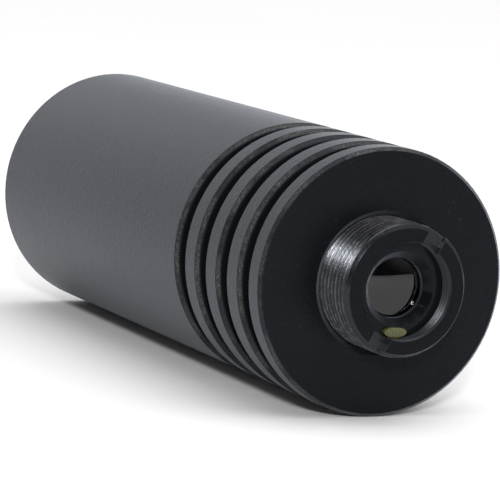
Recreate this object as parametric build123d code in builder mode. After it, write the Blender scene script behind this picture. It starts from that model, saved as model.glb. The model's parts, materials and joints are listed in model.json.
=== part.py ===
from build123d import *
from math import cos, radians, sin
import os

os.makedirs("parts", exist_ok=True)

# Focusable laser collimator module. Sizes are in millimetres.
# The optical axis is the X axis and the beam leaves towards +X. +Z is up.
# The origin is on the axis, half way along the plain clamp barrel of the housing.

# Housing
body_radius = 9.0
body_length = 46.0
plain_length = 32.57
body_wall = 1.6
rear_chamfer = 0.3
rear_x = -plain_length / 2
front_x = rear_x + body_length

# Cooling grooves. Every land has a bevel on its front edge only.
groove_count = 4
groove_pitch = 3.35
groove_width = 1.55
groove_depth = 1.3
land_bevel = 0.3
groove_floor_radius = body_radius - groove_depth

# Front cap
flange_chamfer = 0.22
seam_radius = 8.2
seam_thickness = 0.3
spigot_radius = 6.5
spigot_end = front_x - 7.5
spigot_end_gap = 0.3
screw_gap = 0.05

# Focus thread M9 x 0.5, drawn as a plain cylinder at its outer diameter
thread_radius = 4.45
thread_bore_radius = thread_radius + screw_gap
thread_mouth_radius = 4.85

# Lens barrel
nose_height = 3.48
barrel_length = 9.98
nose_chamfer = 0.3
barrel_front = front_x + nose_height
barrel_back = barrel_front - barrel_length
barrel_bore_radius = 3.19
barrel_stop_radius = 2.3
barrel_back_radius = 3.6
barrel_stop_front = barrel_front - 4.68
barrel_stop_back = barrel_stop_front - 0.7
spanner_slot_width = 1.4
spanner_slot_depth = 0.65
spanner_slot_angle = 62

# Lens and its retaining ring
slip_gap = 0.02
ring_front = barrel_front - 1.02
ring_back = ring_front - 0.91
ring_mouth_radius = 2.49
ring_aperture_radius = 2.02
ring_bevel = 0.59
lens_radius = 3.12
lens_apex = barrel_front - 1.73
lens_front_sag = 0.5
lens_back_sag = 0.6
lens_edge = 1.2
o_ring_section = 0.42
o_ring_radius = 2.66
o_ring_x = barrel_stop_front + o_ring_section + slip_gap

# Washer and spring behind the lens barrel
washer_thickness = 0.5
washer_front = barrel_back - 0.03
washer_back = washer_front - washer_thickness
washer_radius = 4.3
washer_hole_radius = 3.0
spring_radius = 3.6
spring_wire_radius = 0.2
spring_turns = 3.5

# Diode block, pushed in from the rear against the housing shoulder
socket_radius = spigot_radius + screw_gap
waist_radius = 5.6
shoulder_x = front_x - 13.0
chamber_radius = body_radius - body_wall
block_radius = chamber_radius - 0.05
block_back = shoulder_x - 4.0
boss_radius = waist_radius - 0.1
boss_front = shoulder_x + 2.5
block_ring_thickness = 1.5
block_ring_hole_radius = 5.0

# Laser diode in its 5.6 mm can
header_radius = 2.8
header_thickness = 1.2
header_front = shoulder_x + 1.0
header_back = header_front - header_thickness
can_radius = 1.775
can_wall = 0.15
can_height = 2.3
can_brim_radius = 2.15
can_window_radius = 0.8
window_thickness = 0.25
diode_hole_radius = 2.25
seat_radius = header_radius + 0.05
clamp_ring_radius = 4.4
clamp_ring_thickness = 1.5
clamp_ring_hole_radius = 1.9
clamp_slot_width = 0.8
clamp_slot_depth = 0.6
touch_gap = 0.01
pin_radius = 0.225
pin_circle_radius = 1.0
pin_seal_radius = 0.45
pin_front = header_front + 0.3
pin_back = shoulder_x - 8.5

# Driver board, held between the diode pins
board_length = 22.0
board_width = 12.6
board_top = pin_circle_radius - pin_radius - 0.025
board_thickness = 1.0
board_bottom = board_top - board_thickness
board_front = shoulder_x - 6.5
board_middle = board_front - board_length / 2

# Rear cap and cable grommet
cap_thickness = 3.0
cap_bevel = 0.2
cap_radius = chamber_radius - 0.05
cap_hole_radius = 2.6
cap_front = rear_x + cap_thickness
grommet_bore_radius = 1.5
grommet_flange_radius = 3.6
grommet_flange_thickness = 0.8
grommet_inner_flange_radius = 3.3
grommet_inner_flange_thickness = 0.8
grommet_bevel = 0.4
grommet_lead_in = 0.5


def turned_outline(*points):
    """Closed outline for a turned piece, as (distance along X, radius) points."""
    with BuildSketch(Plane.XZ) as outline:
        with BuildLine():
            Polyline(*points, close=True)
        make_face()
    return outline.sketch


def rim_end(number):
    """X where the straight rim of a land ends. Number 0 is the plain barrel, counted forwards."""
    return rear_x + plain_length + number * groove_pitch


def groove_end(number):
    """X of the front wall of the groove before land number + 1."""
    return rim_end(number) + land_bevel + groove_width


# Housing: one turned tube with the cooling grooves, open at both ends
outer_points = [
    (rear_x, chamber_radius),
    (rear_x, body_radius - rear_chamfer),
    (rear_x + rear_chamfer, body_radius),
]
for groove in range(groove_count):
    outer_points += [
        (rim_end(groove), body_radius),
        (rim_end(groove) + land_bevel, body_radius - land_bevel),
        (rim_end(groove) + land_bevel, groove_floor_radius),
    ]
    if groove < groove_count - 1:
        outer_points += [
            (groove_end(groove), groove_floor_radius),
            (groove_end(groove), body_radius),
        ]
flange_back = groove_end(groove_count - 1)
seam_back = flange_back - seam_thickness
outer_points += [
    (seam_back, groove_floor_radius),
    (seam_back, socket_radius),
    (spigot_end - spigot_end_gap, socket_radius),
    (spigot_end - spigot_end_gap, waist_radius),
    (shoulder_x, waist_radius),
    (shoulder_x, chamber_radius),
]
with BuildPart() as housing:
    revolve(turned_outline(*outer_points), axis=Axis.X)
housing.part.label = "housing"
export_step(housing.part, "parts/housing.step")


# Front cap: the flange that closes the last groove, and a spigot screwed into the housing
with BuildPart() as front_cap:
    revolve(
        turned_outline(
            (front_x, thread_mouth_radius),
            (front_x, body_radius - flange_chamfer),
            (front_x - flange_chamfer, body_radius),
            (flange_back, body_radius),
            (flange_back, seam_radius),
            (seam_back, seam_radius),
            (seam_back, spigot_radius),
            (spigot_end, spigot_radius),
            (spigot_end, thread_bore_radius),
            (front_x - (thread_mouth_radius - thread_bore_radius), thread_bore_radius),
        ),
        axis=Axis.X,
    )
front_cap.part.label = "front_cap"
export_step(front_cap.part, "parts/front_cap.step")


# Lens barrel: hollow focus screw with a spanner slot cut straight across its nose
with BuildPart() as lens_barrel:
    revolve(
        turned_outline(
            (barrel_front, barrel_bore_radius),
            (barrel_front, thread_radius - nose_chamfer),
            (barrel_front - nose_chamfer, thread_radius),
            (barrel_back + nose_chamfer, thread_radius),
            (barrel_back, thread_radius - nose_chamfer),
            (barrel_back, barrel_back_radius),
            (barrel_stop_back, barrel_back_radius),
            (barrel_stop_back, barrel_stop_radius),
            (barrel_stop_front, barrel_stop_radius),
            (barrel_stop_front, barrel_bore_radius),
        ),
        axis=Axis.X,
    )
    with BuildSketch(Plane.YZ.offset(barrel_front)):
        Rectangle(3 * thread_radius, spanner_slot_width, rotation=spanner_slot_angle)
    extrude(amount=-spanner_slot_depth, mode=Mode.SUBTRACT)
lens_barrel.part.label = "lens_barrel"
export_step(lens_barrel.part, "parts/lens_barrel.step")


# Lens retaining ring: bevelled aperture in front of the lens
with BuildPart() as lens_retaining_ring:
    revolve(
        turned_outline(
            (ring_front, ring_mouth_radius),
            (ring_front, barrel_bore_radius - slip_gap),
            (ring_back, barrel_bore_radius - slip_gap),
            (ring_back, ring_aperture_radius),
            (ring_front - ring_bevel, ring_aperture_radius),
        ),
        axis=Axis.X,
    )
lens_retaining_ring.part.label = "lens_retaining_ring"
export_step(lens_retaining_ring.part, "parts/lens_retaining_ring.step")


# Adhesive: a small dab that locks the retaining ring in the barrel, below the axis
adhesive_angle = radians(-95)
adhesive_half_width = 0.8
adhesive_half_height = 0.35
adhesive_thickness = 0.3
adhesive_radius = barrel_bore_radius - adhesive_half_height - slip_gap
adhesive_y = adhesive_radius * cos(adhesive_angle)
adhesive_z = adhesive_radius * sin(adhesive_angle)
with BuildPart() as lens_adhesive:
    with BuildSketch(Plane.YZ.offset(ring_front)):
        with Locations((adhesive_y, adhesive_z)):
            Ellipse(adhesive_half_width, adhesive_half_height)
    extrude(amount=adhesive_thickness)
    with BuildSketch(Plane.YZ.offset(ring_front)):
        Circle(barrel_bore_radius - slip_gap)
        Circle(ring_mouth_radius + slip_gap, mode=Mode.SUBTRACT)
    extrude(amount=adhesive_thickness, mode=Mode.INTERSECT)
lens_adhesive.part.label = "lens_adhesive"
export_step(lens_adhesive.part, "parts/lens_adhesive.step")


# Collimating lens: biconvex, with a cylindrical edge
lens_rim_front = lens_apex - lens_front_sag
lens_rim_back = lens_rim_front - lens_edge
lens_back_apex = lens_rim_back - lens_back_sag
front_curve = (lens_radius**2 + lens_front_sag**2) / (2 * lens_front_sag)
back_curve = (lens_radius**2 + lens_back_sag**2) / (2 * lens_back_sag)
with BuildPart() as collimating_lens:
    with BuildSketch(Plane.XZ):
        with BuildLine():
            RadiusArc((lens_apex, 0), (lens_rim_front, lens_radius), -front_curve)
            Line((lens_rim_front, lens_radius), (lens_rim_back, lens_radius))
            RadiusArc((lens_rim_back, lens_radius), (lens_back_apex, 0), -back_curve)
            Line((lens_back_apex, 0), (lens_apex, 0))
        make_face()
    revolve(axis=Axis.X)
collimating_lens.part.label = "collimating_lens"
export_step(collimating_lens.part, "parts/collimating_lens.step")


# O-ring: springs the lens forward against its retaining ring
with BuildPart() as lens_o_ring:
    with BuildSketch(Plane.XZ):
        with Locations((o_ring_x, o_ring_radius)):
            Circle(o_ring_section)
    revolve(axis=Axis.X)
lens_o_ring.part.label = "lens_o_ring"
export_step(lens_o_ring.part, "parts/lens_o_ring.step")


# Thrust washer: slides with the lens barrel and carries the spring
with BuildPart() as thrust_washer:
    with BuildSketch(Plane.YZ.offset(washer_back)):
        Circle(washer_radius)
        Circle(washer_hole_radius, mode=Mode.SUBTRACT)
    extrude(amount=washer_thickness)
thrust_washer.part.label = "thrust_washer"
export_step(thrust_washer.part, "parts/thrust_washer.step")


# Focus spring: takes up the play of the focus thread
spring_gap = 0.03
spring_start = boss_front + spring_gap + spring_wire_radius
spring_length = washer_back - spring_gap - spring_wire_radius - spring_start
with BuildPart() as focus_spring:
    with BuildLine():
        coil = Helix(
            pitch=spring_length / spring_turns,
            height=spring_length,
            radius=spring_radius,
            center=(spring_start, 0, 0),
            direction=(1, 0, 0),
        )
    with BuildSketch(Plane(origin=coil @ 0, z_dir=coil % 0)):
        Circle(spring_wire_radius)
    sweep(is_frenet=True)
focus_spring.part.label = "focus_spring"
export_step(focus_spring.part, "parts/focus_spring.step")


# Diode block: heat sink and seat of the laser diode
clamp_front = header_back - touch_gap
with BuildPart() as diode_block:
    revolve(
        turned_outline(
            (boss_front, diode_hole_radius),
            (boss_front, boss_radius),
            (shoulder_x, boss_radius),
            (shoulder_x, block_radius),
            (block_back, block_radius),
            (block_back, clamp_ring_radius + screw_gap),
            (clamp_front, clamp_ring_radius + screw_gap),
            (clamp_front, seat_radius),
            (header_front, seat_radius),
            (header_front, diode_hole_radius),
        ),
        axis=Axis.X,
    )
diode_block.part.label = "diode_block"
export_step(diode_block.part, "parts/diode_block.step")


# Diode clamp ring: screwed in behind the diode header
with BuildPart() as diode_clamp_ring:
    with BuildSketch(Plane.YZ.offset(clamp_front)):
        Circle(clamp_ring_radius)
        Circle(clamp_ring_hole_radius, mode=Mode.SUBTRACT)
    extrude(amount=-clamp_ring_thickness)
    with BuildSketch(Plane.YZ.offset(clamp_front - clamp_ring_thickness)):
        Rectangle(3 * clamp_ring_radius, clamp_slot_width)
    extrude(amount=clamp_slot_depth, mode=Mode.SUBTRACT)
diode_clamp_ring.part.label = "diode_clamp_ring"
export_step(diode_clamp_ring.part, "parts/diode_clamp_ring.step")


# Block retaining ring: screwed into the housing behind the diode block
with BuildPart() as block_retaining_ring:
    with BuildSketch(Plane.YZ.offset(block_back - touch_gap)):
        Circle(block_radius)
        Circle(block_ring_hole_radius, mode=Mode.SUBTRACT)
    extrude(amount=-block_ring_thickness)
block_retaining_ring.part.label = "block_retaining_ring"
export_step(block_retaining_ring.part, "parts/block_retaining_ring.step")


# Laser diode header: round base with a hole for each glass seal
with BuildPart() as laser_diode_header:
    with BuildSketch(Plane.YZ.offset(header_back)):
        Circle(header_radius)
        with PolarLocations(pin_circle_radius, 3, start_angle=90):
            Circle(pin_seal_radius, mode=Mode.SUBTRACT)
    extrude(amount=header_thickness)
laser_diode_header.part.label = "laser_diode_header"
export_step(laser_diode_header.part, "parts/laser_diode_header.step")


# Glass seals round the three pins
with BuildPart() as pin_glass_seals:
    with BuildSketch(Plane.YZ.offset(header_back)):
        with PolarLocations(pin_circle_radius, 3, start_angle=90):
            Circle(pin_seal_radius)
            Circle(pin_radius, mode=Mode.SUBTRACT)
    extrude(amount=header_thickness)
pin_glass_seals.part.label = "pin_glass_seals"
export_step(pin_glass_seals.part, "parts/pin_glass_seals.step")


# Laser diode pins: run through the seals to the driver board
with BuildPart() as laser_diode_pins:
    with BuildSketch(Plane.YZ.offset(pin_back)):
        with PolarLocations(pin_circle_radius, 3, start_angle=90):
            Circle(pin_radius)
    extrude(amount=pin_front - pin_back)
laser_diode_pins.part.label = "laser_diode_pins"
export_step(laser_diode_pins.part, "parts/laser_diode_pins.step")


# Laser diode can: brimmed cap with a window hole
can_front = header_front + can_height
with BuildPart() as laser_diode_can:
    revolve(
        turned_outline(
            (can_front, can_window_radius),
            (can_front, can_radius),
            (header_front + can_wall, can_radius),
            (header_front + can_wall, can_brim_radius),
            (header_front, can_brim_radius),
            (header_front, can_radius - can_wall),
            (can_front - can_wall, can_radius - can_wall),
            (can_front - can_wall, can_window_radius),
        ),
        axis=Axis.X,
    )
laser_diode_can.part.label = "laser_diode_can"
export_step(laser_diode_can.part, "parts/laser_diode_can.step")


# Window glass inside the front of the can
with BuildPart() as laser_diode_window:
    with BuildSketch(Plane.YZ.offset(can_front - can_wall)):
        Circle(can_radius - can_wall)
    extrude(amount=-window_thickness)
laser_diode_window.part.label = "laser_diode_window"
export_step(laser_diode_window.part, "parts/laser_diode_window.step")


# Submount: heat spreader on the header, between the pins, with the laser chip on its top face
submount_width = 0.9
submount_height = 0.35
submount_length = 1.1
chip_size = 0.3
chip_height = 0.1
with BuildPart() as laser_diode_submount:
    with BuildSketch(Plane.YZ.offset(header_front)):
        with Locations((0, -chip_height / 2 - submount_height / 2)):
            Rectangle(submount_width, submount_height)
    extrude(amount=submount_length)
laser_diode_submount.part.label = "laser_diode_submount"
export_step(laser_diode_submount.part, "parts/laser_diode_submount.step")

with BuildPart() as laser_diode_chip:
    with BuildSketch(Plane.YZ.offset(header_front + submount_length - chip_size)):
        Rectangle(chip_size, chip_height)
    extrude(amount=chip_size)
laser_diode_chip.part.label = "laser_diode_chip"
export_step(laser_diode_chip.part, "parts/laser_diode_chip.step")


# Driver board: one flat plate with two wire holes near its rear edge
board_corner = 0.6
wire_hole_x = board_front - board_length + 2.0
wire_hole_y = 4.6
wire_hole_radius = 0.45
with BuildPart() as driver_board:
    with BuildSketch(Plane.XY.offset(board_bottom)):
        with Locations((board_middle, 0)):
            RectangleRounded(board_length, board_width, board_corner)
        with Locations((wire_hole_x, wire_hole_y), (wire_hole_x, -wire_hole_y)):
            Circle(wire_hole_radius, mode=Mode.SUBTRACT)
    extrude(amount=board_thickness)
driver_board.part.label = "driver_board"
export_step(driver_board.part, "parts/driver_board.step")


def on_board(distance_back, sideways, length, width):
    """Rectangle on the board, by the distance of its middle behind the board's front edge."""
    with Locations((board_front - distance_back, sideways)):
        Rectangle(length, width)


# Driver circuit: an eight-lead package and its leads
ic_back = 10.5
ic_side = -2.2
ic_length = 4.9
ic_width = 3.9
ic_height = 1.5
lead_pitch = 1.27
lead_width = 0.42
lead_reach = 1.0
lead_thickness = 0.2
stand_off = 0.15
ic_bevel = 0.2
with BuildPart() as driver_ic:
    with BuildSketch(Plane.XY.offset(board_top + stand_off)):
        on_board(ic_back, ic_side, ic_length, ic_width)
    extrude(amount=ic_height)
    chamfer(driver_ic.edges().group_by(Axis.Z)[-1], length=ic_bevel)
driver_ic.part.label = "driver_ic"
export_step(driver_ic.part, "parts/driver_ic.step")

with BuildPart() as driver_ic_leads:
    with BuildSketch(Plane.XY.offset(board_top)):
        with Locations((board_front - ic_back, ic_side)):
            for side in (1, -1):
                with Locations((0, side * (ic_width + lead_reach) / 2)):
                    with GridLocations(lead_pitch, 1, 4, 1):
                        Rectangle(lead_width, lead_reach)
    extrude(amount=lead_thickness)
driver_ic_leads.part.label = "driver_ic_leads"
export_step(driver_ic_leads.part, "parts/driver_ic_leads.step")


# Chip resistors and ceramic capacitors
chip_length = 2.0
chip_width = 1.25
chip_places = (4.4, 6.2)
chip_side = 4.2
resistor_height = 0.5
capacitor_height = 0.85
with BuildPart() as sense_resistors:
    with BuildSketch(Plane.XY.offset(board_top)):
        for place in chip_places:
            on_board(place, -chip_side, chip_width, chip_length)
    extrude(amount=resistor_height)
sense_resistors.part.label = "sense_resistors"
export_step(sense_resistors.part, "parts/sense_resistors.step")

with BuildPart() as ceramic_capacitors:
    with BuildSketch(Plane.XY.offset(board_top)):
        for place in chip_places:
            on_board(place, chip_side, chip_width, chip_length)
    extrude(amount=capacitor_height)
ceramic_capacitors.part.label = "ceramic_capacitors"
export_step(ceramic_capacitors.part, "parts/ceramic_capacitors.step")


# Tantalum capacitor, inductor and reverse-polarity diode
tantalum_back = 17.8
tantalum_side = 3.2
tantalum_length = 3.5
tantalum_width = 2.8
tantalum_height = 1.9
tantalum_bevel = 0.15
with BuildPart() as tantalum_capacitor:
    with BuildSketch(Plane.XY.offset(board_top)):
        on_board(tantalum_back, tantalum_side, tantalum_length, tantalum_width)
    extrude(amount=tantalum_height)
    chamfer(tantalum_capacitor.edges().group_by(Axis.Z)[-1], length=tantalum_bevel)
tantalum_capacitor.part.label = "tantalum_capacitor"
export_step(tantalum_capacitor.part, "parts/tantalum_capacitor.step")

inductor_x = board_front - 17.3
inductor_y = -3.2
inductor_size = 4.0
inductor_corner = 0.7
inductor_height = 2.0
inductor_ring_outer = 1.45
inductor_ring_inner = 1.2
inductor_ring_depth = 0.2
with BuildPart() as inductor:
    with BuildSketch(Plane.XY.offset(board_top)):
        with Locations((inductor_x, inductor_y)):
            RectangleRounded(inductor_size, inductor_size, inductor_corner)
    extrude(amount=inductor_height)
    with BuildSketch(Plane.XY.offset(board_top + inductor_height)):
        with Locations((inductor_x, inductor_y)):
            Circle(inductor_ring_outer)
            Circle(inductor_ring_inner, mode=Mode.SUBTRACT)
    extrude(amount=-inductor_ring_depth, mode=Mode.SUBTRACT)
inductor.part.label = "inductor"
export_step(inductor.part, "parts/inductor.step")

diode_back = 8.0
diode_length = 2.8
diode_width = 1.6
diode_height = 1.1
with BuildPart() as protection_diode:
    with BuildSketch(Plane.XY.offset(board_bottom)):
        on_board(diode_back, 0, diode_length, diode_width)
    extrude(amount=-diode_height)
protection_diode.part.label = "protection_diode"
export_step(protection_diode.part, "parts/protection_diode.step")


# Power trimmer: square body with a round well, and the slotted screw that turns in it
trim_x = board_front - 11.0
trim_y = 3.3
trim_size = 3.6
trim_height = 1.5
trim_floor = 0.5
trim_screw_radius = 1.2
trim_well_gap = 0.06
trim_screw_recess = 0.1
trim_screw_lift = 0.03
trim_slot_length = 1.8
trim_slot_width = 0.4
trim_slot_depth = 0.4
with BuildPart() as trim_pot_body:
    with BuildSketch(Plane.XY.offset(board_top)):
        with Locations((trim_x, trim_y)):
            Rectangle(trim_size, trim_size)
    extrude(amount=trim_height)
    with BuildSketch(Plane.XY.offset(board_top + trim_floor)):
        with Locations((trim_x, trim_y)):
            Circle(trim_screw_radius + trim_well_gap)
    extrude(amount=trim_height, mode=Mode.SUBTRACT)
trim_pot_body.part.label = "trim_pot_body"
export_step(trim_pot_body.part, "parts/trim_pot_body.step")

with BuildPart() as trim_pot_screw:
    with BuildSketch(Plane.XY.offset(board_top + trim_floor + trim_screw_lift)):
        with Locations((trim_x, trim_y)):
            Circle(trim_screw_radius)
    extrude(amount=trim_height - trim_screw_recess - trim_floor - trim_screw_lift)
    with BuildSketch(Plane.XY.offset(board_top + trim_height - trim_screw_recess)):
        with Locations((trim_x, trim_y)):
            Rectangle(trim_slot_length, trim_slot_width)
    extrude(amount=-trim_slot_depth, mode=Mode.SUBTRACT)
trim_pot_screw.part.label = "trim_pot_screw"
export_step(trim_pot_screw.part, "parts/trim_pot_screw.step")


# Solder joints: a short bead over each pin, on its own side of the board
solder_length = 1.4
solder_radius = 0.55
solder_setback = 0.3
with BuildPart() as solder_joints:
    with BuildSketch(Plane.YZ.offset(board_front - solder_setback)):
        with PolarLocations(pin_circle_radius, 3, start_angle=90):
            Circle(solder_radius)
            Circle(pin_radius, mode=Mode.SUBTRACT)
        with Locations((0, (board_top + board_bottom) / 2)):
            Rectangle(board_width, board_thickness, mode=Mode.SUBTRACT)
    extrude(amount=-solder_length)
solder_joints.part.label = "solder_joints"
export_step(solder_joints.part, "parts/solder_joints.step")


# Supply pads: where the two supply leads are soldered
pad_back = board_length - 1.0
pad_side = 1.6
pad_length = 1.4
pad_width = 1.8
pad_thickness = 0.1
with BuildPart() as supply_pads:
    with BuildSketch(Plane.XY.offset(board_top)):
        for sideways in (pad_side, -pad_side):
            on_board(pad_back, sideways, pad_length, pad_width)
    extrude(amount=pad_thickness)
supply_pads.part.label = "supply_pads"
export_step(supply_pads.part, "parts/supply_pads.step")


# Rear cap: plug that closes the driver chamber
with BuildPart() as rear_cap:
    revolve(
        turned_outline(
            (rear_x, cap_hole_radius),
            (rear_x, cap_radius - cap_bevel),
            (rear_x + cap_bevel, cap_radius),
            (cap_front, cap_radius),
            (cap_front, cap_hole_radius),
        ),
        axis=Axis.X,
    )
rear_cap.part.label = "rear_cap"
export_step(rear_cap.part, "parts/rear_cap.step")


# Cable grommet: rubber bush snapped into the rear cap, with the cable's bore through it
with BuildPart() as cable_grommet:
    revolve(
        turned_outline(
            (rear_x - grommet_flange_thickness, grommet_bore_radius),
            (rear_x - grommet_flange_thickness, grommet_flange_radius - grommet_bevel),
            (rear_x - grommet_flange_thickness + grommet_bevel, grommet_flange_radius),
            (rear_x, grommet_flange_radius),
            (rear_x, cap_hole_radius),
            (cap_front, cap_hole_radius),
            (cap_front, grommet_inner_flange_radius),
            (cap_front + grommet_inner_flange_thickness, grommet_inner_flange_radius - grommet_lead_in),
            (cap_front + grommet_inner_flange_thickness, grommet_bore_radius),
        ),
        axis=Axis.X,
    )
cable_grommet.part.label = "cable_grommet"
export_step(cable_grommet.part, "parts/cable_grommet.step")
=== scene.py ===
import json
import math

import bmesh
import bpy
from mathutils import Matrix, Vector

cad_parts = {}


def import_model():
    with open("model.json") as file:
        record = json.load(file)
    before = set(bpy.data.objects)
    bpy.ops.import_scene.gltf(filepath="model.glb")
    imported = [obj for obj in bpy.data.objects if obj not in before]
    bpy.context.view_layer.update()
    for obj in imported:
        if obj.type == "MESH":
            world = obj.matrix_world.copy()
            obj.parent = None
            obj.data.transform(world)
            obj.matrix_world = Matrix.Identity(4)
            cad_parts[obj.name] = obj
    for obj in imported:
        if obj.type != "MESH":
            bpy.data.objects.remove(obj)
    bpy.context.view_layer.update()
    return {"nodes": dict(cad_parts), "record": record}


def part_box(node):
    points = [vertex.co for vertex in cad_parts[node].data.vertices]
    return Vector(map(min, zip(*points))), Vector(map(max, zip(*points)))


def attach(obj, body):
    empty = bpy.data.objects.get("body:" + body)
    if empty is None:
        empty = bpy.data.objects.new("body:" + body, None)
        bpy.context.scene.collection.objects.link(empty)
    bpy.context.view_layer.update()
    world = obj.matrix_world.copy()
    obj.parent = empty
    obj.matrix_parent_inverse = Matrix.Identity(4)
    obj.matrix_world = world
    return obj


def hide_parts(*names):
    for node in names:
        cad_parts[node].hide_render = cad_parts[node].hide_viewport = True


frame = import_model()

# Everything is in metres, in the CAD frame: the optical axis is X, the beam leaves towards +X.
MM = 0.001
NODES = frame["nodes"]
CAP_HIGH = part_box("front_cap")[1]
BARREL_LOW, BARREL_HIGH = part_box("lens_barrel")
LENS_LOW, LENS_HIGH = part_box("collimating_lens")
BODY_RADIUS = CAP_HIGH.z
FRONT_X = CAP_HIGH.x
GROOVES_REAR_X = 16.3 * MM   # the plain barrel ends here and the grooves begin


# ---------------------------------------------------------------- materials

class Nodes:
    """A short way to write a node material: every method adds one node and returns its output."""

    def __init__(self, name):
        self.material = bpy.data.materials.new(name)
        self.material.use_nodes = True
        self.tree = self.material.node_tree
        self.shader = self.tree.nodes["Principled BSDF"]
        self.place = self.new("ShaderNodeTexCoord").outputs["Object"]

    def new(self, kind):
        return self.tree.nodes.new(kind)

    def link(self, value, socket):
        if isinstance(value, (int, float)):
            socket.default_value = value
        elif isinstance(value, (tuple, list)):
            socket.default_value = tuple(value) + (1.0,) * (len(socket.default_value) - len(value))
        else:
            self.tree.links.new(value, socket)

    def noise(self, scale, detail=3.0, rough=0.55, vector=None):
        node = self.new("ShaderNodeTexNoise")
        self.link(vector or self.place, node.inputs["Vector"])
        node.inputs["Scale"].default_value = scale
        node.inputs["Detail"].default_value = detail
        node.inputs["Roughness"].default_value = rough
        return node.outputs["Fac"]

    def cells(self, scale, feature="F1", vector=None, randomness=1.0):
        node = self.new("ShaderNodeTexVoronoi")
        node.feature = feature
        self.link(vector or self.place, node.inputs["Vector"])
        node.inputs["Scale"].default_value = scale
        node.inputs["Randomness"].default_value = randomness
        return node.outputs["Distance"]

    def waves(self, scale, direction):
        node = self.new("ShaderNodeTexWave")
        node.wave_type = "BANDS"
        node.bands_direction = direction
        self.link(self.place, node.inputs["Vector"])
        node.inputs["Scale"].default_value = scale
        node.inputs["Distortion"].default_value = 0.0
        node.inputs["Detail"].default_value = 1.0
        return node.outputs["Fac"]

    def axes(self):
        node = self.new("ShaderNodeSeparateXYZ")
        self.link(self.place, node.inputs["Vector"])
        return node.outputs["X"], node.outputs["Y"], node.outputs["Z"]

    def join(self, x, y, z):
        node = self.new("ShaderNodeCombineXYZ")
        for value, socket in zip((x, y, z), node.inputs):
            self.link(value, socket)
        return node.outputs["Vector"]

    def math(self, operation, a, b=0.0):
        node = self.new("ShaderNodeMath")
        node.operation = operation
        self.link(a, node.inputs[0])
        self.link(b, node.inputs[1])
        return node.outputs[0]

    def add(self, *values):
        total = values[0]
        for value in values[1:]:
            total = self.math("ADD", total, value)
        return total

    def times(self, a, b):
        return self.math("MULTIPLY", a, b)

    def ramp(self, value, low, high, to_low=0.0, to_high=1.0):
        node = self.new("ShaderNodeMapRange")
        node.interpolation_type = "SMOOTHSTEP"
        self.link(value, node.inputs["Value"])
        node.inputs["From Min"].default_value = low
        node.inputs["From Max"].default_value = high
        node.inputs["To Min"].default_value = to_low
        node.inputs["To Max"].default_value = to_high
        return node.outputs["Result"]

    def mix(self, factor, a, b):
        node = self.new("ShaderNodeMix")
        node.data_type = "RGBA"
        self.link(factor, node.inputs[0])
        self.link(a, node.inputs[6])
        self.link(b, node.inputs[7])
        return node.outputs[2]

    def bump(self, height, strength, distance, under=None):
        node = self.new("ShaderNodeBump")
        node.inputs["Strength"].default_value = strength
        node.inputs["Distance"].default_value = distance
        self.link(height, node.inputs["Height"])
        if under is not None:
            self.link(under, node.inputs["Normal"])
        return node.outputs["Normal"]

    def finish(self, color, rough, normal=None, metallic=0.0, **fixed):
        self.link(color, self.shader.inputs["Base Color"])
        self.link(rough, self.shader.inputs["Roughness"])
        self.link(metallic, self.shader.inputs["Metallic"])
        if normal is not None:
            self.link(normal, self.shader.inputs["Normal"])
        for name, value in fixed.items():
            self.shader.inputs[name.replace("_", " ")].default_value = value
        return self.material


def axis_polar(n):
    """Distance from the optical axis, and position along it, in metres."""
    x, y, z = n.axes()
    return n.math("SQRT", n.add(n.times(y, y), n.times(z, z))), x


def turning_marks(n, radius, x, pitch, detail=2.0):
    """Fine rings round the optical axis, on round walls and on flat faces alike."""
    return n.noise(1.0, detail=detail, vector=n.join(n.times(x, pitch), n.times(radius, pitch), 0.0))


BUMP_HEIGHT = 0.02 * MM
COOL_TINT = (0.80, 0.87, 1.0, 1.0)
SPECK_COLOR = (0.20, 0.20, 0.20)
# painted shade: colour that makes the grooves almost black, standing in for the shade inside them
PAINTED_GROOVE_SHADE_COLOR = (0.0004, 0.0004, 0.0006)
RUBBED_COLOR = (0.12, 0.12, 0.115)
# painted shade: the front face is partly turned to dark metal so that it mirrors less and looks darker
FACE_SMOOTHER = -0.17      # the front face is less rough than the turned sides
FACE_PAINTED_DULLING = 0.52           # and mirrors less


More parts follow.
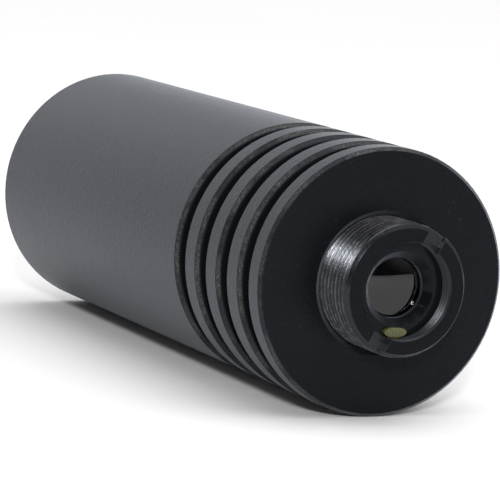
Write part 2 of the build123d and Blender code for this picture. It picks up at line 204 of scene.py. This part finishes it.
def anodised(name, dark, light, rough, blast=1.0, dust=0.12):
    """Black anodised aluminium: bead-blasted grain, faint turning lines and a few pale specks.

    The groove walls are painted almost black and turned to dark metal (painted shade in the grooves), the
    front face is smoother and partly turned to dark metal so that it mirrors less (painted shade), and the
    bevelled rims of the body are rubbed grey in patches.
    """
    n = Nodes(name)
    radius, x = axis_polar(n)
    cloud = n.noise(260.0, detail=4.0)
    grain = n.noise(9000.0, detail=3.0, rough=0.65)
    mottle = n.noise(3000.0, detail=4.0, rough=0.6)
    pits = n.cells(5200.0)
    turned = turning_marks(n, radius, x, 9000.0)

    below_surface = n.ramp(radius, BODY_RADIUS - 0.5 * MM, BODY_RADIUS - 0.2 * MM, 1.0, 0.0)
    behind_flange = n.ramp(x, FRONT_X - 1.60 * MM, FRONT_X - 1.50 * MM, 1.0, 0.0)
    past_plain_barrel = n.ramp(x, GROOVES_REAR_X - 0.05 * MM, GROOVES_REAR_X + 0.05 * MM)
    # where the painted groove shade goes: below the body's surface, behind the flange and past the plain
    # barrel
    painted_groove_shade = n.times(n.times(below_surface, behind_flange), past_plain_barrel)
    face_x = FRONT_X - 0.10 * MM, FRONT_X - 0.02 * MM
    rim = n.times(n.ramp(radius, BODY_RADIUS - 0.27 * MM, BODY_RADIUS - 0.21 * MM),
                  n.ramp(radius, BODY_RADIUS - 0.05 * MM, BODY_RADIUS - 0.02 * MM, 1.0, 0.0))
    rubbed = n.times(rim, n.ramp(n.noise(7500.0, detail=5.0, rough=0.75), 0.42, 0.64, 0.12, 0.75))
    rubbed = n.times(rubbed, n.ramp(n.noise(420.0, detail=3.0), 0.42, 0.60, 0.25, 1.0))

    tone = n.add(n.times(cloud, 0.45), n.times(grain, 0.55))
    base = n.mix(n.ramp(tone, 0.32, 0.68), dark, light)
    base = n.mix(n.times(n.ramp(n.noise(2300.0, detail=2.0), 0.72, 0.78), dust), base, SPECK_COLOR)
    # painted shade: the grooves are made almost black
    base = n.mix(painted_groove_shade, base, PAINTED_GROOVE_SHADE_COLOR)
    base = n.mix(rubbed, base, RUBBED_COLOR)

    drift = n.add(n.ramp(cloud, 0.3, 0.7, -0.008, 0.008), n.ramp(x, *face_x, 0.0, FACE_SMOOTHER),
                  n.times(painted_groove_shade, 0.25))
    roughness = n.add(n.ramp(grain, 0.3, 0.7, rough - 0.03, rough + 0.05), drift)
    pitted = n.add(grain, n.times(pits, -0.5), n.times(mottle, 1.6))
    normal = n.bump(pitted, 0.70 * blast, BUMP_HEIGHT, under=n.bump(turned, 0.04, BUMP_HEIGHT))
    # painted shade: the grooves and the front face are turned to dark metal so that they mirror less
    painted_shade_dulling = n.add(n.times(painted_groove_shade, 0.9), n.ramp(x, *face_x, 0.0, FACE_PAINTED_DULLING))
    return n.finish(base, roughness, normal, metallic=n.math("MAXIMUM", rubbed, painted_shade_dulling),
                    Specular_IOR_Level=0.18, Specular_Tint=COOL_TINT,
                    Sheen_Weight=0.20, Sheen_Roughness=0.5, Sheen_Tint=COOL_TINT)


def worn_barrel():
    """Glossier black anodised thread with crests rubbed through to grey metal, a rougher bore and nose front,
    and the nose's flat front turned partly to dark metal so that it mirrors less (painted shade).
    """
    n = Nodes("black_anodised_barrel")
    radius, x = axis_polar(n)
    grain = n.noise(7000.0, detail=3.0, rough=0.65)
    turned = turning_marks(n, radius, x, 16000.0)
    worn = n.times(n.ramp(radius, 4.34 * MM, 4.43 * MM), n.ramp(n.noise(1600.0), 0.42, 0.60, 0.15, 0.85))
    base = n.mix(n.ramp(grain, 0.32, 0.68), (0.0025, 0.0025, 0.0032), (0.006, 0.006, 0.0075))
    base = n.mix(worn, base, (0.10, 0.10, 0.105))
    flat = n.ramp(n.math("SUBTRACT", BARREL_HIGH.x, x), 0.0, 0.06 * MM, 0.40, 0.24)
    inside = n.ramp(radius, 3.6 * MM, 3.7 * MM, 0.13, 0.0)
    roughness = n.add(flat, inside, n.ramp(grain, 0.3, 0.7, -0.03, 0.05))
    normal = n.bump(grain, 0.30, BUMP_HEIGHT, under=n.bump(turned, 0.10, BUMP_HEIGHT))
    # painted shade: the flat front of the nose is turned partly to dark metal so that it mirrors less
    nose = n.ramp(x, BARREL_HIGH.x - 0.05 * MM, BARREL_HIGH.x - 0.01 * MM, 0.0, 0.68)
    return n.finish(base, roughness, normal, metallic=n.math("MAXIMUM", worn, nose), Specular_IOR_Level=0.40,
                    Specular_Tint=(0.86, 0.91, 1.0, 1.0))


def turned_metal(name, dark, light, rough):
    """Bare turned metal: fine rings round the optical axis and a slight tarnish."""
    n = Nodes(name)
    radius, x = axis_polar(n)
    rings = turning_marks(n, radius, x, 14000.0, detail=3.0)
    base = n.mix(n.ramp(n.noise(420.0, detail=5.0), 0.35, 0.7), light, dark)
    roughness = n.ramp(rings, 0.25, 0.75, rough - 0.08, rough + 0.12)
    return n.finish(base, roughness, n.bump(rings, 0.12, BUMP_HEIGHT), metallic=1.0)


def grained(name, dark, light, rough, scale=1500.0, bump=0.15, metallic=0.0, **fixed):
    """Moulded, fired or plated surface: fine grain with a little colour drift."""
    n = Nodes(name)
    drift = n.noise(scale * 0.25, detail=4.0)
    grain = n.noise(scale * 4.0, detail=3.0, rough=0.6)
    tone = n.add(n.times(drift, 0.6), n.times(grain, 0.4))
    base = n.mix(n.ramp(tone, 0.35, 0.65), dark, light)
    roughness = n.ramp(grain, 0.3, 0.7, rough - 0.05, rough + 0.06)
    return n.finish(base, roughness, n.bump(grain, bump, BUMP_HEIGHT), metallic=metallic, **fixed)


def glass(name, tint, rough):
    """Optical glass with a faint film of dust."""
    n = Nodes(name)
    roughness = n.ramp(n.noise(900.0, detail=4.0), 0.4, 0.8, rough, rough + 0.02)
    return n.finish(tint, roughness, Transmission_Weight=1.0, IOR=1.52)


def board():
    """Green solder mask with buried tracks and a faint glass weave."""
    n = Nodes("board_laminate")
    x, y = n.axes()[:2]
    tracks = n.cells(620.0, feature="DISTANCE_TO_EDGE", vector=n.join(x, y, 0.0), randomness=0.35)
    line = n.ramp(tracks, 0.05, 0.09, 1.0, 0.0)
    weave = n.times(n.waves(900.0, "X"), n.waves(900.0, "Y"))
    base = n.mix(line, (0.006, 0.075, 0.028), (0.02, 0.16, 0.055))
    base = n.mix(n.times(weave, 0.25), base, (0.01, 0.05, 0.02))
    return n.finish(base, 0.32, n.bump(line, 0.35, 0.03 * MM))


ANODISED_DARK = (0.0017, 0.0018, 0.0024)
ANODISED_LIGHT = (0.0040, 0.0041, 0.0054)
MATERIALS = {
    "black_anodised": anodised("black_anodised", ANODISED_DARK, ANODISED_LIGHT, 0.42),
    "black_anodised_rear": anodised("black_anodised_rear", ANODISED_DARK, ANODISED_LIGHT, 0.42),
    "black_anodised_barrel": worn_barrel(),
    "black_ring": anodised("black_ring", (0.002, 0.002, 0.0025), (0.005, 0.005, 0.006), 0.26,
                           blast=0.3, dust=0.05),
    "brass": turned_metal("brass", (0.42, 0.28, 0.10), (0.72, 0.53, 0.24), 0.30),
    "bare_aluminium": turned_metal("bare_aluminium", (0.55, 0.55, 0.57), (0.80, 0.81, 0.83), 0.32),
    "spring_steel": grained("spring_steel", (0.42, 0.42, 0.44), (0.66, 0.66, 0.68), 0.26, metallic=1.0),
    "washer_steel": turned_metal("washer_steel", (0.45, 0.45, 0.46), (0.68, 0.68, 0.70), 0.34),
    "gold_plate": grained("gold_plate", (0.80, 0.56, 0.20), (0.95, 0.73, 0.33), 0.22, metallic=1.0),
    "seal_glass": grained("seal_glass", (0.10, 0.14, 0.12), (0.17, 0.22, 0.19), 0.18, Transmission_Weight=0.3),
    "nickel_plate": turned_metal("nickel_plate", (0.58, 0.56, 0.51), (0.76, 0.74, 0.70), 0.24),
    "window_glass": glass("window_glass", (0.95, 0.97, 1.0), 0.01),
    "laser_chip": grained("laser_chip", (0.05, 0.05, 0.07), (0.14, 0.14, 0.18), 0.2, scale=9000.0),
    "board_laminate": board(),
    "black_epoxy": grained("black_epoxy", (0.012, 0.012, 0.012), (0.028, 0.028, 0.028), 0.55, scale=3500.0),
    "tin_plate": grained("tin_plate", (0.62, 0.63, 0.66), (0.82, 0.83, 0.86), 0.30, metallic=1.0),
    "resistor_black": grained("resistor_black", (0.015, 0.015, 0.018), (0.035, 0.035, 0.04), 0.35,
                              scale=2500.0),
    "capacitor_ceramic": grained("capacitor_ceramic", (0.36, 0.25, 0.15), (0.50, 0.37, 0.24), 0.50,
                                 scale=2500.0),
    "tantalum_epoxy": grained("tantalum_epoxy", (0.68, 0.36, 0.05), (0.85, 0.50, 0.10), 0.45, scale=2500.0),
    "ferrite": grained("ferrite", (0.035, 0.035, 0.038), (0.075, 0.075, 0.08), 0.60, scale=3000.0, bump=0.3),
    "trimmer_plastic": grained("trimmer_plastic", (0.03, 0.08, 0.30), (0.05, 0.13, 0.42), 0.42, scale=2500.0),
    "trimmer_brass": grained("trimmer_brass", (0.55, 0.40, 0.16), (0.78, 0.60, 0.28), 0.30, metallic=1.0),
    "copper_pad": grained("copper_pad", (0.60, 0.28, 0.14), (0.86, 0.48, 0.28), 0.30, metallic=1.0),
    "black_rubber": grained("black_rubber", (0.012, 0.012, 0.012), (0.026, 0.026, 0.026), 0.70,
                            scale=2500.0, bump=0.3),
    "yellow_adhesive": grained("yellow_adhesive", (0.045, 0.042, 0.007), (0.11, 0.105, 0.03), 0.25,
                               Subsurface_Weight=0.2),
    # painted shade: the lens glass is tinted nearly black, standing in for the dark, shaded inside of the
    # module behind it
    "lens_glass": glass("lens_glass", (0.05, 0.055, 0.065), 0.0),
}
SLOT_OF = {row["node"]: row["material_slot"] for row in frame["record"]["subparts"]}
for node_name, node in NODES.items():
    node.data.materials.clear()
    node.data.materials.append(MATERIALS[SLOT_OF[node_name]])


# ---------------------------------------------------------------- threaded lens barrel

THREAD_PITCH = 0.5 * MM
THREAD_DEPTH = 0.3 * MM
THREAD_PROFILE = ((0.0, 0.0), (0.125, 0.0), (0.4375, 1.0), (0.6875, 1.0))    # share of pitch, share of depth
RING_THREAD_PITCH = 0.35 * MM
RING_THREAD_DEPTH = 0.19 * MM
TURN_STEPS = 144
BARREL_RADIUS = BARREL_HIGH.z
BARREL_CHAMFER = 0.3 * MM
MOUTH_CHAMFER = 0.14 * MM
BORE_RADIUS = 3.19 * MM
STOP_RADIUS = 2.3 * MM
REAR_BORE_RADIUS = 3.6 * MM
STOP_FRONT_X = BARREL_HIGH.x - 4.68 * MM
STOP_BACK_X = BARREL_HIGH.x - 5.38 * MM
MERGE_DISTANCE = 0.5e-6
CREASE_ANGLE = math.radians(22.0)
SLOT_WIDTH = 1.4 * MM
SLOT_DEPTH = 0.65 * MM
SLOT_ANGLE = 62.0
SLOT_FLARE = 0.05 * MM


def round_point(x, radius, step):
    angle = math.tau * step / TURN_STEPS
    return Vector((x, radius * math.cos(angle), radius * math.sin(angle)))


def thread_rows(mesh, rear, front, pitch, radius_at):
    """Rings of vertices that follow the helix of a right-hand thread and end flat at both faces."""
    turns = math.ceil((front - rear) / pitch) + 1
    rows = []
    for turn in range(-1, turns):
        for share, depth in THREAD_PROFILE:
            row = []
            for step in range(TURN_STEPS):
                x = rear + pitch * (turn + share + step / TURN_STEPS)
                x = min(max(x, rear), front)
                row.append(mesh.verts.new(round_point(x, radius_at(x, depth), step)))
            rows.append(row)
    return rows


def outer_radius(x, depth):
    """The focusing thread, cut down to its root at both chamfers."""
    chamfer = max(0.0, BARREL_CHAMFER - (BARREL_HIGH.x - x), BARREL_CHAMFER - (x - BARREL_LOW.x))
    return BARREL_RADIUS - max(chamfer, THREAD_DEPTH * depth)


def ring_thread_radius(x, depth):
    """The thread that the retaining ring screws into, faded out at both ends."""
    room = min(BARREL_HIGH.x - MOUTH_CHAMFER - x, x - STOP_FRONT_X)
    return BORE_RADIUS + min(RING_THREAD_DEPTH * depth, room)


def lathed(mesh, profile):
    """A ring of vertices round the optical axis for each (x, radius) of the profile."""
    return [[mesh.verts.new(round_point(x, radius, step)) for step in range(TURN_STEPS)]
            for x, radius in profile]


def skin(mesh, rows, shift=0):
    """Quads between neighbouring rows; the seam joins each row to the one that is a turn further on."""
    for number in range(len(rows) - 1):
        for step in range(TURN_STEPS):
            over = step + 1 == TURN_STEPS
            low, high = number, number + 1
            if over:
                low, high = min(number + shift, len(rows) - 1), min(number + 1 + shift, len(rows) - 1)
            after = 0 if over else step + 1
            corners = [rows[number][step], rows[low][after], rows[high][after], rows[number + 1][step]]
            corners = [corner for place, corner in enumerate(corners) if corner not in corners[:place]]
            if len(corners) > 2:
                mesh.faces.new(corners)


def slot_cutter():
    """A bar across the nose for the spanner slot, flared at the top so that the slot's edges are broken."""
    reach = 2.0 * BARREL_RADIUS
    floor_x = BARREL_HIGH.x - SLOT_DEPTH
    half = SLOT_WIDTH / 2
    flare_x, open_x = BARREL_HIGH.x - SLOT_FLARE, BARREL_HIGH.x + SLOT_FLARE
    wide = half + 2 * SLOT_FLARE
    outline = [(floor_x, -half), (flare_x, -half), (open_x, -wide),
               (open_x, wide), (flare_x, half), (floor_x, half)]
    mesh = bmesh.new()
    turn = Matrix.Rotation(math.radians(SLOT_ANGLE), 3, "X")
    ends = [[mesh.verts.new(turn @ Vector((x, end, across))) for x, across in outline]
            for end in (-reach, reach)]
    mesh.faces.new(ends[0])
    mesh.faces.new(list(reversed(ends[1])))
    for number in range(len(outline)):
        after = (number + 1) % len(outline)
        mesh.faces.new([ends[0][number], ends[1][number], ends[1][after], ends[0][after]])
    bmesh.ops.recalc_face_normals(mesh, faces=mesh.faces)
    data = bpy.data.meshes.new("slot_cutter")
    mesh.to_mesh(data)
    mesh.free()
    return bpy.data.objects.new("slot_cutter", data)


def threaded_barrel():
    """The lens barrel with its focusing thread, its inner thread and the spanner slot across its nose."""
    mesh = bmesh.new()
    rear, front = BARREL_LOW.x, BARREL_HIGH.x
    skin(mesh, thread_rows(mesh, rear, front, THREAD_PITCH, outer_radius), shift=len(THREAD_PROFILE))
    ring_thread = thread_rows(mesh, STOP_FRONT_X, front - MOUTH_CHAMFER, RING_THREAD_PITCH, ring_thread_radius)
    skin(mesh, ring_thread, shift=len(THREAD_PROFILE))
    rim = BARREL_RADIUS - BARREL_CHAMFER
    nose = [(front, rim), (front, BORE_RADIUS + MOUTH_CHAMFER), (front - MOUTH_CHAMFER, BORE_RADIUS)]
    stop_and_rear = [(STOP_FRONT_X, BORE_RADIUS), (STOP_FRONT_X, STOP_RADIUS), (STOP_BACK_X, STOP_RADIUS),
                     (STOP_BACK_X, REAR_BORE_RADIUS), (rear, REAR_BORE_RADIUS), (rear, rim)]
    skin(mesh, lathed(mesh, nose))
    skin(mesh, lathed(mesh, stop_and_rear))
    bmesh.ops.remove_doubles(mesh, verts=mesh.verts, dist=MERGE_DISTANCE)
    bmesh.ops.dissolve_degenerate(mesh, edges=mesh.edges, dist=MERGE_DISTANCE)
    bmesh.ops.recalc_face_normals(mesh, faces=mesh.faces)
    data = bpy.data.meshes.new("threaded_lens_barrel")
    mesh.to_mesh(data)
    mesh.free()
    piece = bpy.data.objects.new("threaded_lens_barrel", data)
    cutter = slot_cutter()
    for item in (piece, cutter):
        bpy.context.scene.collection.objects.link(item)
    cut = piece.modifiers.new("slot", "BOOLEAN")
    cut.operation = "DIFFERENCE"
    cut.solver = "EXACT"
    cut.object = cutter
    bpy.context.view_layer.update()
    finished = bpy.data.meshes.new_from_object(piece.evaluated_get(bpy.context.evaluated_depsgraph_get()))
    piece.modifiers.clear()
    piece.data = finished
    bpy.data.objects.remove(cutter)
    finished.materials.clear()
    finished.materials.append(MATERIALS["black_anodised_barrel"])
    finished.shade_smooth()
    finished.set_sharp_from_angle(angle=CREASE_ANGLE)
    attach(piece, "focus_screw")
    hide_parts("lens_barrel")


threaded_barrel()


# ---------------------------------------------------------------- ground lens

LENS_FRONT_SAG = 0.5 * MM
LENS_BACK_SAG = 0.6 * MM
LENS_ARC_STEPS = 24


def spherical_face(apex_x, sag, towards_rim):
    """Profile of one lens face from its middle to its rim; towards_rim is the way it falls back along x."""
    rim = LENS_HIGH.z
    sphere = (rim * rim + sag * sag) / (2.0 * sag)
    radii = [rim * step / LENS_ARC_STEPS for step in range(LENS_ARC_STEPS + 1)]
    return [(apex_x + towards_rim * (sphere - math.sqrt(sphere * sphere - radius * radius)), radius)
            for radius in radii]


def ground_lens():
    """The biconvex lens, with rings fine enough that both faces shade smoothly up to the middle."""
    mesh = bmesh.new()
    front = spherical_face(LENS_HIGH.x, LENS_FRONT_SAG, -1.0)
    back = spherical_face(LENS_LOW.x, LENS_BACK_SAG, 1.0)
    skin(mesh, lathed(mesh, front + back[::-1]))
    bmesh.ops.remove_doubles(mesh, verts=mesh.verts, dist=MERGE_DISTANCE)
    bmesh.ops.recalc_face_normals(mesh, faces=mesh.faces)
    data = bpy.data.meshes.new("ground_collimating_lens")
    mesh.to_mesh(data)
    mesh.free()
    piece = bpy.data.objects.new("ground_collimating_lens", data)
    bpy.context.scene.collection.objects.link(piece)
    data.materials.append(MATERIALS["lens_glass"])
    data.shade_smooth()
    data.set_sharp_from_angle(angle=CREASE_ANGLE)
    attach(piece, "focus_screw")
    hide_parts("collimating_lens")


ground_lens()


# ---------------------------------------------------------------- stage, light and camera

FLOOR_REACH = 3.0
FLOOR_GAP = 0.00002
ROOM_LIGHT = 0.01      # brightness of the room between the panels
PANEL_EDGE = 0.70      # cosine of the angle from a panel's middle where its light has faded out
PANEL_CORE = 0.95      # and where it is at full brightness
LAMP_TARGET = (0.02, 0, 0)
CAMERA_DISTANCE = 0.22381


def floor():
    """A sheet of plain pale paper just under the body."""
    corners = [(-FLOOR_REACH, -FLOOR_REACH, 0), (FLOOR_REACH, -FLOOR_REACH, 0),
               (FLOOR_REACH, FLOOR_REACH, 0), (-FLOOR_REACH, FLOOR_REACH, 0)]
    mesh = bpy.data.meshes.new("floor")
    mesh.from_pydata(corners, [], [(0, 1, 2, 3)])
    piece = bpy.data.objects.new("floor", mesh)
    piece.location.z = -BODY_RADIUS - FLOOR_GAP
    bpy.context.scene.collection.objects.link(piece)
    n = Nodes("floor_paper")
    drift = n.ramp(n.noise(4.0, detail=2.0), 0.3, 0.7)
    mesh.materials.append(n.finish(n.mix(drift, (0.94, 0.94, 0.945), (0.96, 0.96, 0.965)), 0.9))


def area_light(name, location, size, power):
    """A small square lamp turned towards the nose."""
    data = bpy.data.lights.new(name, "AREA")
    data.shape = "RECTANGLE"
    data.size, data.size_y = size, size
    data.energy = power
    light = bpy.data.objects.new(name, data)
    light.location = location
    light.rotation_mode = "QUATERNION"
    light.rotation_quaternion = (Vector(LAMP_TARGET) - Vector(location)).to_track_quat("-Z", "Y")
    bpy.context.scene.collection.objects.link(light)


def world(fill, *panels):
    """A dim room with soft bright panels: each panel is the direction of its middle and its brightness."""
    scene_world = bpy.data.worlds.new("studio")
    scene_world.use_nodes = True
    tree = scene_world.node_tree
    background = tree.nodes["Background"]
    background.inputs["Color"].default_value = (1.0, 1.0, 1.0, 1.0)
    place = tree.nodes.new("ShaderNodeTexCoord").outputs["Generated"]
    total = None
    for direction, brightness in panels:
        along = tree.nodes.new("ShaderNodeVectorMath")
        along.operation = "DOT_PRODUCT"
        along.inputs[1].default_value = Vector(direction).normalized()
        tree.links.new(place, along.inputs[0])
        fade = tree.nodes.new("ShaderNodeMapRange")
        fade.interpolation_type = "SMOOTHSTEP"
        fade.inputs["From Min"].default_value = PANEL_EDGE
        fade.inputs["From Max"].default_value = PANEL_CORE
        fade.inputs["To Max"].default_value = brightness
        tree.links.new(along.outputs["Value"], fade.inputs["Value"])
        added = tree.nodes.new("ShaderNodeMath")
        tree.links.new(fade.outputs["Result"], added.inputs[0])
        if total is None:
            added.inputs[1].default_value = fill
        else:
            tree.links.new(total, added.inputs[1])
        total = added.outputs[0]
    tree.links.new(total, background.inputs["Strength"])
    bpy.context.scene.world = scene_world


def camera():
    """Close view from in front of the nose and a little above, rolled four degrees."""
    azimuth, elevation, roll = math.radians(-25.96), math.radians(7.99), math.radians(3.98)
    target = Vector((FRONT_X - 0.02055, 0.00019, -0.00103))
    towards = Vector((math.cos(elevation) * math.cos(azimuth), math.cos(elevation) * math.sin(azimuth),
                      math.sin(elevation)))
    level_right = (-towards).cross(Vector((0, 0, 1))).normalized()
    level_up = level_right.cross(-towards)
    right = level_right * math.cos(roll) + level_up * math.sin(roll)
    up = level_up * math.cos(roll) - level_right * math.sin(roll)
    data = bpy.data.cameras.new("camera")
    data.sensor_width = 36.0
    data.lens = 224.75
    data.clip_start, data.clip_end = 0.01, 20.0
    made = bpy.data.objects.new("camera", data)
    axes = Matrix((right, up, towards)).transposed().to_4x4()
    made.matrix_world = Matrix.Translation(target + towards * CAMERA_DISTANCE) @ axes
    bpy.context.scene.collection.objects.link(made)
    bpy.context.scene.camera = made


floor()
world(ROOM_LIGHT,
      ((-0.89, -0.43, 0.14), 0.94),
      ((0.0, 0.1, 0.99), 1.90),
      ((0.45, 0.6, 0.66), 0.85),
      ((-0.8, 0.5, 0.3), 0.68),
      ((-0.5, 0.85, 0.1), 1.15))
area_light("lamp_above_camera", (0.32, -0.1435, 0.133), 0.034, 0.80)
area_light("lamp_upper_left", (0.174, -0.236, 0.205), 0.035, 0.07)
camera()
bpy.context.scene.view_settings.view_transform = "Standard"
